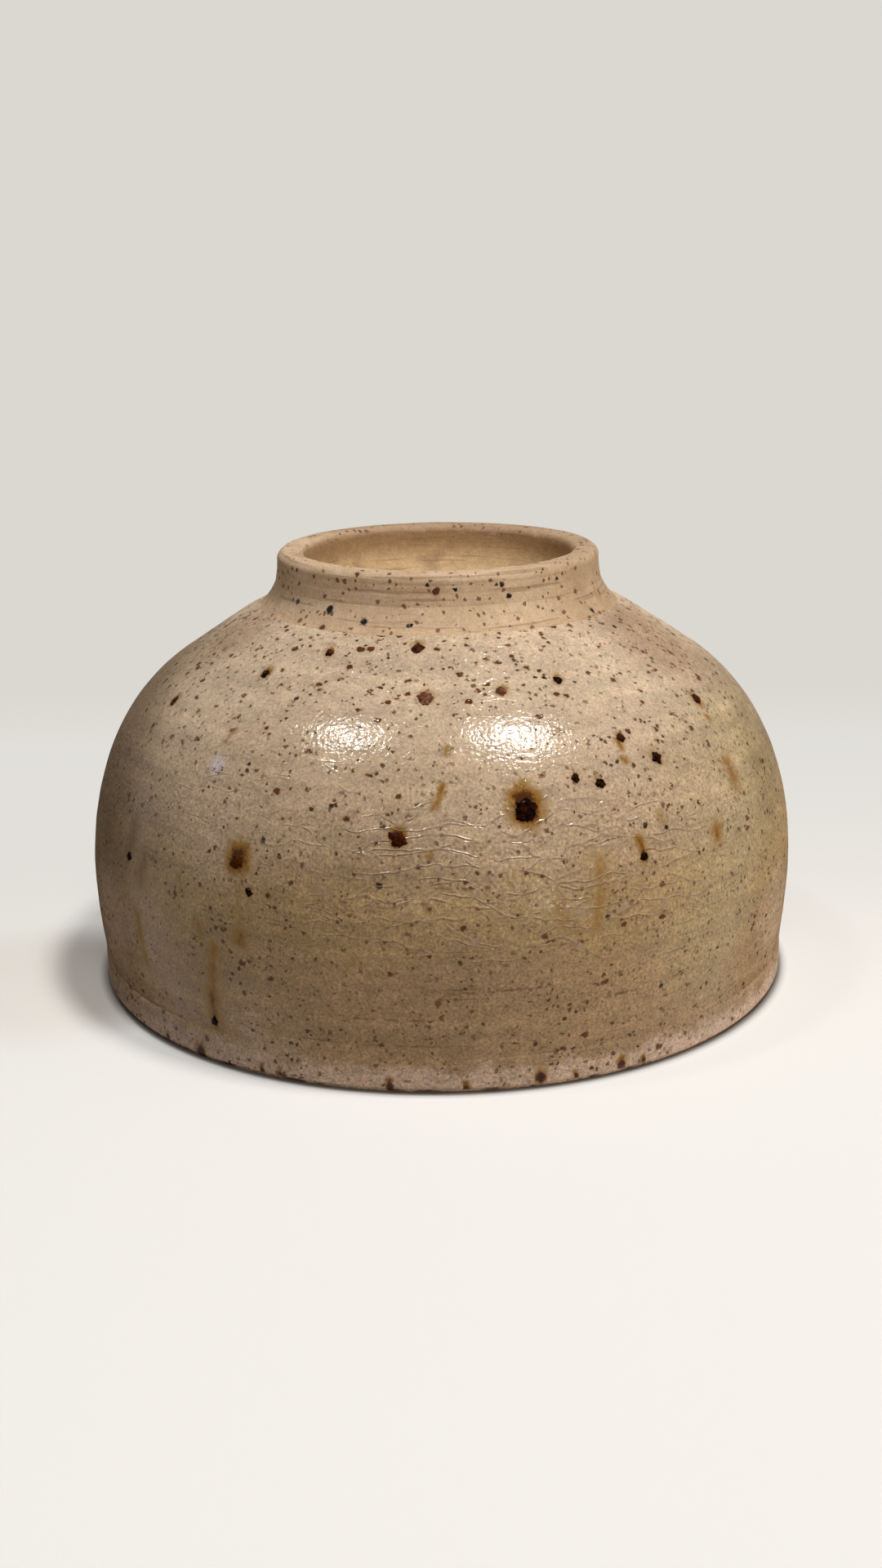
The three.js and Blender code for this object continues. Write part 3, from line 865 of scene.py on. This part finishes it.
# Stains round beads, by the bead's number: width and strength. A plain one goes by the bead's width.
BEAD_HALOS = {
    1: (5.0, 2.8), 2: (2.3, 2.6), 3: (4.3, 2.3), 10: (2.2, 1.4), 11: (3.0, 1.0), 12: (2.2, 1.1),
    16: (2.6, 1.3), 17: (2.3, 1.2), 18: (2.3, 1.1), 20: (4.6, 2.2), 22: (4.8, 2.4), 24: (2.9, 1.4),
}
PLAIN_HALO_SHARE = 1.35
PLAIN_HALO_STRENGTH = 0.95
HALO_LEAN = 0.28


def bead_place(number):
    """The middle of an iron bead, in millimetres, and its width, from the frame."""
    points = [vertex.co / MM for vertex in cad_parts[f"iron_bead_{number:02d}"].data.vertices]
    middle = sum(points, Vector()) / len(points)
    return middle, 2 * max((point - middle).length for point in points)


def turn_of(place):
    """The turn of a place from the front, in degrees."""
    return math.degrees(math.atan2(place.x, -place.y))


def uphill(turn, height):
    """A short step up the face of the glaze at a turn and a height."""
    return on_bowl(turn, height + SLOPE_STEP) - on_bowl(turn, height - SLOPE_STEP)


def dipped(place):
    """The thrown waves, small dimples, and near the foot a wavering that makes the wiped edge ragged."""
    near_foot = min(max((place.z - CONE_HEIGHT) / (BED_HEIGHT - CONE_HEIGHT), 0.0), 1.0)
    dimples = DIMPLE_DEPTH * noise.noise(place * DIMPLE_PITCH)
    return thrown(place) + dimples + EDGE_WANDER * near_foot * noise.noise(place * EDGE_PITCH)


coat_depths = thinning(wall_belly, GLAZE, -GLAZE_ROOT, GLAZE_TAPER)
coat_face = [(RIM + GLAZE * LAP_SHARE, LIP_BAND - BAND_LAP)] + moved(wall_belly, coat_depths)
coat_back = back_of(wall_belly, -GLAZE_BACK, BACK_EVERY)
coat = spin_on_wheel("dipped_glaze", coat_face + coat_back, GLAZE_SIDES)
press(coat, dipped)
stains = []
for turn_a, height_a, turn_b, height_b, width, strength in IRON_RUNS:
    stains.append((on_bowl(turn_a, height_a), on_bowl(turn_b, height_b), width, strength))
for number in range(1, BEAD_COUNT + 1):
    middle, bead_width = bead_place(number)
    plain_halo = (bead_width * PLAIN_HALO_SHARE, PLAIN_HALO_STRENGTH)
    width, strength = BEAD_HALOS.get(number, plain_halo)
    turn = turn_of(middle)
    start = on_bowl(turn, middle.z)
    end = start + uphill(turn, middle.z).normalized() * HALO_LEAN * width
    stains.append((start, end, width, strength))
coat.data.materials.append(ash_glaze("outside_glaze", stains))
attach(coat, "root")
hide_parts("outer_glaze")

# Lip glaze
# The band at the lip where the glaze lies double: paler and a little mauve. It comes down to the edge of
# the lip, where it thins out, and rusty iron runs up it from marks along the edge.
LIP_GLAZE = 0.6
LIP_STEPS = 8
LIP_COVER = 60
LIP_TAPER = 0.6
LIP_BACK_EVERY = 3
LIP_RUN = 0.8
LIP_RUN_SPREAD = 1.15
LIP_RUN_STRENGTH = 1.5
lip_clay = [band_top] + straight(band_top, (RIM, LIP_EDGE), LIP_STEPS)
for step in range(1, LIP_STEPS + 1):
    turn = math.radians(LIP_COVER * step / LIP_STEPS)
    lip_clay.append((RIM - LIP_EDGE + LIP_EDGE * math.cos(turn), LIP_EDGE - LIP_EDGE * math.sin(turn)))
lip_depths = [-depth for depth in thinning(lip_clay, LIP_GLAZE, -GLAZE_ROOT, LIP_TAPER)]
lip_depths[0] = -GLAZE
lip_face = [(RIM + GLAZE * LAP_SHARE, LIP_BAND + BAND_LAP)] + moved(lip_clay, lip_depths)
lip_back = back_of(lip_clay, GLAZE_BACK, LIP_BACK_EVERY)
lip_coat = spin_on_wheel("lip_glaze_band", lip_face + lip_back, GLAZE_SIDES)
press(lip_coat, thrown)
lip_runs = []
for turn, rise, width in LIP_SPOTS:
    start = on_outline(lip_line, turn, rise)
    end = on_outline(lip_line, turn, rise + LIP_RUN)
    lip_runs.append((start, end, width * LIP_RUN_SPREAD, LIP_RUN_STRENGTH))
lip_coat.data.materials.append(ash_glaze("lip_glaze", lip_runs))
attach(lip_coat, "root")
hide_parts("lip_glaze")

# Iron beads
# Lumps of iron in the clay that melted in the kiln and stand in pits of the glaze as flat, ragged beads.
# Each is its own shape. Most are black and glassy, some are rusty or crusted, and one is amber.
BEAD_PROUD = 0.30
BEAD_DEPTH = 0.8
BEAD_FILL = 0.88
BEAD_PITCH = 1.1
BEAD_SHIFT = 3.7
BEAD_LUMPS = [(1, 0.55), (2.7, 0.35), (6, 0.2)]
LIFT_PITCH = 2
LIFT_UNEVEN = 0.5
BEAD_SHEEN = 0.02
RUSTY_BEADS = {2, 9, 14, 15, 17, 18, 21, 23}
AMBER_BEADS = {3}
CRUSTED_BEADS = {11, 12}
BEAD_BLACK = (0.003, 0.0015, 0.001)
BEAD_BURNT = (0.045, 0.007, 0.001)
BEAD_BROWN = (0.036, 0.007, 0.002)
BEAD_RED = (0.135, 0.028, 0.007)
BEAD_AMBER = (0.07, 0.018, 0.001)
BEAD_CRUST = (0.125, 0.045, 0.020)
BEAD_PALE_CRUST = (0.27, 0.125, 0.075)


def melted_iron(name, body, crust, gloss):
    """Melted iron: dark and glassy, with a duller crust in patches."""
    iron = Finish(name)
    place = iron.place()
    patches = iron.cloud(place, size=0.8, detail=3, rough=0.6)
    pits = iron.cloud(place, size=0.35, detail=2)
    return iron.done({
        "Base Color": iron.mix(iron.rise(patches, low=0.45, high=0.70), body, crust),
        "Roughness": iron.plus(iron.rise(patches, low=0.40, high=0.70, top=0.20), gloss),
        "Specular IOR Level": BEAD_SHEEN,
        "Normal": iron.relief([(pits, 0.06)]),
    })


black_iron = melted_iron("black_iron", BEAD_BLACK, BEAD_BURNT, gloss=0.07)
rusty_iron = melted_iron("rusty_iron", BEAD_BROWN, BEAD_RED, gloss=0.40)
amber_iron = melted_iron("amber_iron", BEAD_AMBER, BEAD_BURNT, gloss=0.20)
crusted_iron = melted_iron("crusted_iron", BEAD_CRUST, BEAD_PALE_CRUST, gloss=0.50)
bead_finishes = {number: rusty_iron for number in RUSTY_BEADS}
bead_finishes |= {number: amber_iron for number in AMBER_BEADS}
bead_finishes |= {number: crusted_iron for number in CRUSTED_BEADS}
for number in range(1, BEAD_COUNT + 1):
    middle, width = bead_place(number)
    bpy.ops.object.select_all(action="DESELECT")
    bpy.ops.mesh.primitive_ico_sphere_add(subdivisions=4, radius=1)
    bead = bpy.context.object
    bead.name = f"melted_bead_{number:02d}"
    face = on_bowl(turn_of(middle), middle.z)
    away = Vector((middle.x, middle.y, 0)).normalized()
    slope = uphill(0, middle.z)
    out = (away * slope.z + Vector((0, 0, slope.y))).normalized()
    side = Vector((0, 0, 1)).cross(away)
    up = out.cross(side)
    for vertex in bead.data.vertices:
        seed = Vector((number * BEAD_SHIFT, 0, 0)) + vertex.co * BEAD_PITCH
        lumps = [share * noise.noise(seed * pitch) for pitch, share in BEAD_LUMPS]
        spread = width / 2 * sum(lumps, BEAD_FILL)
        lift = vertex.co.z * (BEAD_PROUD if vertex.co.z > 0 else BEAD_DEPTH)
        lift *= 1 + LIFT_UNEVEN * noise.noise(seed * LIFT_PITCH)
        vertex.co = (face + side * vertex.co.x * spread + up * vertex.co.y * spread + out * lift) * MM
    bead.data.update()
    bpy.ops.object.shade_smooth()
    bead.data.materials.append(bead_finishes.get(number, black_iron))
    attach(bead, "root")
    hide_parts(f"iron_bead_{number:02d}")

# Paper sweep
# A studio floor of pale paper that curves up into a wall all round, so that no horizon shows.
# To the eye it is pale and takes the bowl's shadow. Little light bounces off it onto the bowl.
SWEEP_FLAT = 700
SWEEP_WALL = 1400
SWEEP_TOP = 1900
SWEEP_SIDES = 96
PAPER_SHEET = 5
PAPER_NEAR = (0.945, 0.937, 0.922)
PAPER_FAR = (0.708, 0.687, 0.638)
BOUNCE_LEFT = (0.29, 0.24, 0.19)
BOUNCE_RIGHT = (0.85, 0.76, 0.62)
DIM_SIDE = -75
BRIGHT_SIDE = 80
NEAR_EDGE = -60
FAR_EDGE = 215
LIT_EDGE = 150
LIT_SHARE = 0.60
LIT_GAIN = 1.10
SHADOW_PLACE = (-68, -14, 0)
SHADOW_REACH = 48
SHADOW_CORE = 0.3
SHADOW_SHARE = 0.95
# A painted contact shadow: a thin dark ring on the floor round the rim.
CONTACT_REACH = 2.5
CONTACT_CORE = 0.5
CONTACT_DEPTH = 0.85
CONTACT_SHADOW_TONE = (0.10, 0.085, 0.07)
sweep_outline = [(0, 0), (SWEEP_FLAT, 0)]
sweep_outline += bow((SWEEP_FLAT, 0), (SWEEP_WALL, 0), (SWEEP_WALL, SWEEP_FLAT), steps=24)
sweep_outline += [(SWEEP_WALL, SWEEP_TOP)]
sweep_outline += moved(sweep_outline, [PAPER_SHEET] * len(sweep_outline))[::-1]
floor = spin_on_wheel("paper_sweep", sweep_outline, SWEEP_SIDES)
paper = Finish("pale_paper")
paper_place = paper.place()
back = paper.axis(paper_place, "Y")
tone = paper.mix(paper.rise(back, FAR_EDGE, NEAR_EDGE), PAPER_FAR, PAPER_NEAR)
glow = paper.node("ShaderNodeEmission", {"Color": tone, "Strength": 1.0}).outputs[0]
# The painted contact shadow. The floor's real shadow also shows fully there.
painted_contact_shadow = paper.rise(paper.radius(paper_place), RIM + CONTACT_REACH, RIM + CONTACT_CORE)
lit_tone = paper.vector("SCALE", tone, LIT_GAIN)
lit_tone = paper.mix(paper.times(painted_contact_shadow, CONTACT_DEPTH), lit_tone, CONTACT_SHADOW_TONE)
lit = paper.node("ShaderNodeBsdfDiffuse", {"Color": lit_tone}).outputs[0]
in_shadow = paper.near(paper_place, SHADOW_PLACE, SHADOW_REACH, core=SHADOW_REACH * SHADOW_CORE)
near_bowl = paper.rise(back, LIT_EDGE, 0, top=LIT_SHARE)
near_bowl = paper.most(near_bowl, paper.times(in_shadow, SHADOW_SHARE))
near_bowl = paper.most(near_bowl, painted_contact_shadow)
shown = paper.node("ShaderNodeMixShader", {0: near_bowl, 1: glow, 2: lit}).outputs[0]
rightwards = paper.rise(paper.axis(paper_place, "X"), DIM_SIDE, BRIGHT_SIDE)
bounce_tone = paper.mix(rightwards, BOUNCE_LEFT, BOUNCE_RIGHT)
bounce = paper.node("ShaderNodeBsdfDiffuse", {"Color": bounce_tone}).outputs[0]
path = paper.node("ShaderNodeLightPath", {})
seen = paper.most(path.outputs["Is Camera Ray"], path.outputs["Is Glossy Ray"])
seen = paper.most(seen, path.outputs["Is Transmission Ray"])
whole = paper.node("ShaderNodeMixShader", {0: seen, 1: bounce, 2: shown}).outputs[0]
paper.feed(paper.tree.nodes["Material Output"].inputs["Surface"], whole)
floor.data.materials.append(paper.material)

# Light
# Lamps overhead, in front and at the right light the bowl but aren't mirrored in it. Three others are
# only mirrored, as the two highlights and a low glint. The room adds a little warm light.
# Their places and sizes are in metres.
ROOM_COLOUR = (1.0, 0.97, 0.93, 1)
ROOM_STRENGTH = 0.03
LAMP_COLOUR = (1, 0.96, 0.90)
LAMP_AIM = Vector((0, 0, 0.04))
scene = bpy.context.scene
scene.view_settings.view_transform = "Standard"
world = bpy.data.worlds.new("studio")
world.use_nodes = True
world.node_tree.nodes["Background"].inputs["Color"].default_value = ROOM_COLOUR
world.node_tree.nodes["Background"].inputs["Strength"].default_value = ROOM_STRENGTH
scene.world = world


def lamp(name, place, size, power, mirrored=False):
    """A lamp aimed at the bowl, of a length and a width. It lights the bowl or is mirrored in it."""
    bpy.ops.object.light_add(type="AREA", location=place)
    light = bpy.context.object
    light.name = name
    light.data.shape = "RECTANGLE"
    light.data.size = size[0]
    light.data.size_y = size[1]
    light.data.energy = power
    light.data.color = LAMP_COLOUR
    light.visible_diffuse = not mirrored
    light.visible_glossy = mirrored
    light.rotation_euler = (LAMP_AIM - Vector(place)).to_track_quat("-Z", "Y").to_euler()


lamp("ceiling_lamp", place=(0.14, -0.085, 0.62), size=(0.10, 0.10), power=2.10)
lamp("right_highlight", place=(0.196, -0.118, 0.615), size=(0.050, 0.130), power=7.4, mirrored=True)
lamp("left_ceiling_lamp", place=(-0.21, -0.053, 0.62), size=(0.05, 0.05), power=0.4)
lamp("left_highlight", place=(-0.230, -0.092, 0.606), size=(0.025, 0.030), power=3.0, mirrored=True)
lamp("low_glint", place=(0.54, -0.84, 0.10), size=(0.03, 0.03), power=1.0, mirrored=True)
lamp("front_fill", place=(0.16, -0.90, 0.30), size=(0.9, 0.9), power=0.95)
lamp("front_ceiling", place=(0.03, -0.55, 0.50), size=(0.30, 0.30), power=1.0)
lamp("right_window", place=(0.70, -0.10, 0.09), size=(0.16, 0.16), power=0.9)

# Camera
# It looks down on the bowl from close by, a little tilted to one side. Its place, in metres, and its
# lens are worked out from the ellipses of the rim and the foot in the photograph.
CAMERA_BACK = 0.3119
CAMERA_HEIGHT = 0.1238
CAMERA_PITCH = 16.655
CAMERA_ROLL = -0.8
CAMERA_LENS = 42.86
CAMERA_SENSOR = 36.0
CAMERA_NEAREST = 0.01
bpy.ops.object.camera_add(location=(0, -CAMERA_BACK, CAMERA_HEIGHT))
camera = bpy.context.object
tilt = Matrix.Rotation(math.radians(90 - CAMERA_PITCH), 4, "X")
roll = Matrix.Rotation(math.radians(CAMERA_ROLL), 4, "Z")
camera.rotation_euler = (tilt @ roll).to_euler()
camera.data.sensor_width = CAMERA_SENSOR
camera.data.lens = CAMERA_LENS
camera.data.clip_start = CAMERA_NEAREST
scene.camera = camera
